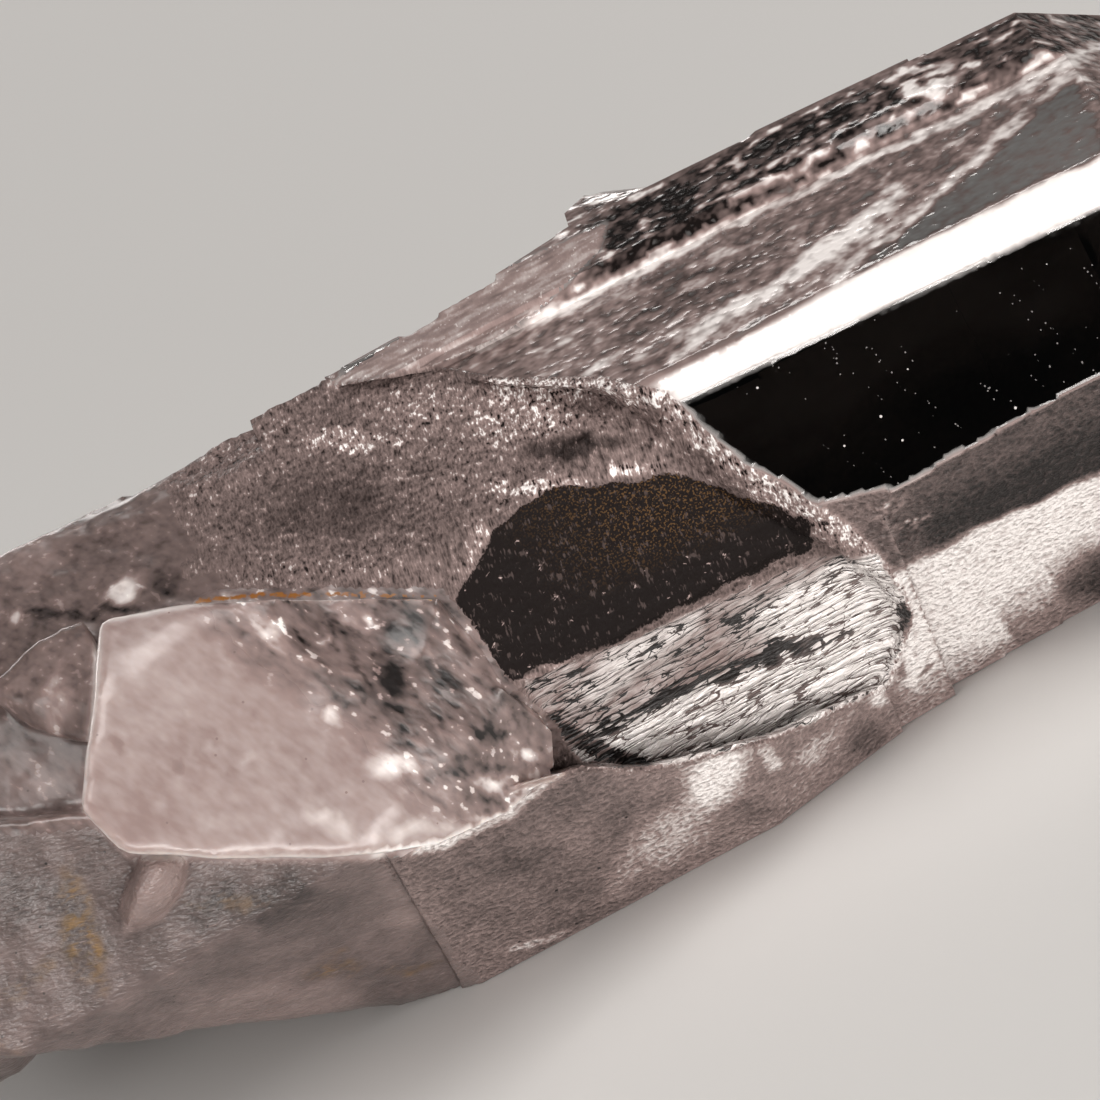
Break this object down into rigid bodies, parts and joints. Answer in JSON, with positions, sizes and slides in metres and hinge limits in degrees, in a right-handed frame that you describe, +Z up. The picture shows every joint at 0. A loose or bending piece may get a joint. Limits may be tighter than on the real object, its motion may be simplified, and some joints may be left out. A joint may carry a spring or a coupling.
{
  "type": "lemurian quartz point",
  "caption": "Natural clear quartz crystal point with stepped prism faces, a sunken contact scar, a milky side stub and a rough stained base, lying on a prism face.",
  "frame": {"origin": "middle of the bounding box's footprint, on the plane that the rest face lies on", "axes": "+X along the crystal towards its point, +Z up from the prism face that it rests on, -Y towards the side with the scar and the stub"},
  "size_m": [0.115, 0.0424, 0.0343],
  "materials": {
    "quartz": "clear natural quartz, glossy prism faces, etched and milky towards the base"
  },
  "bodies": {
    "root": {"quartz_point": "quartz"}
  },
  "joints": []
}
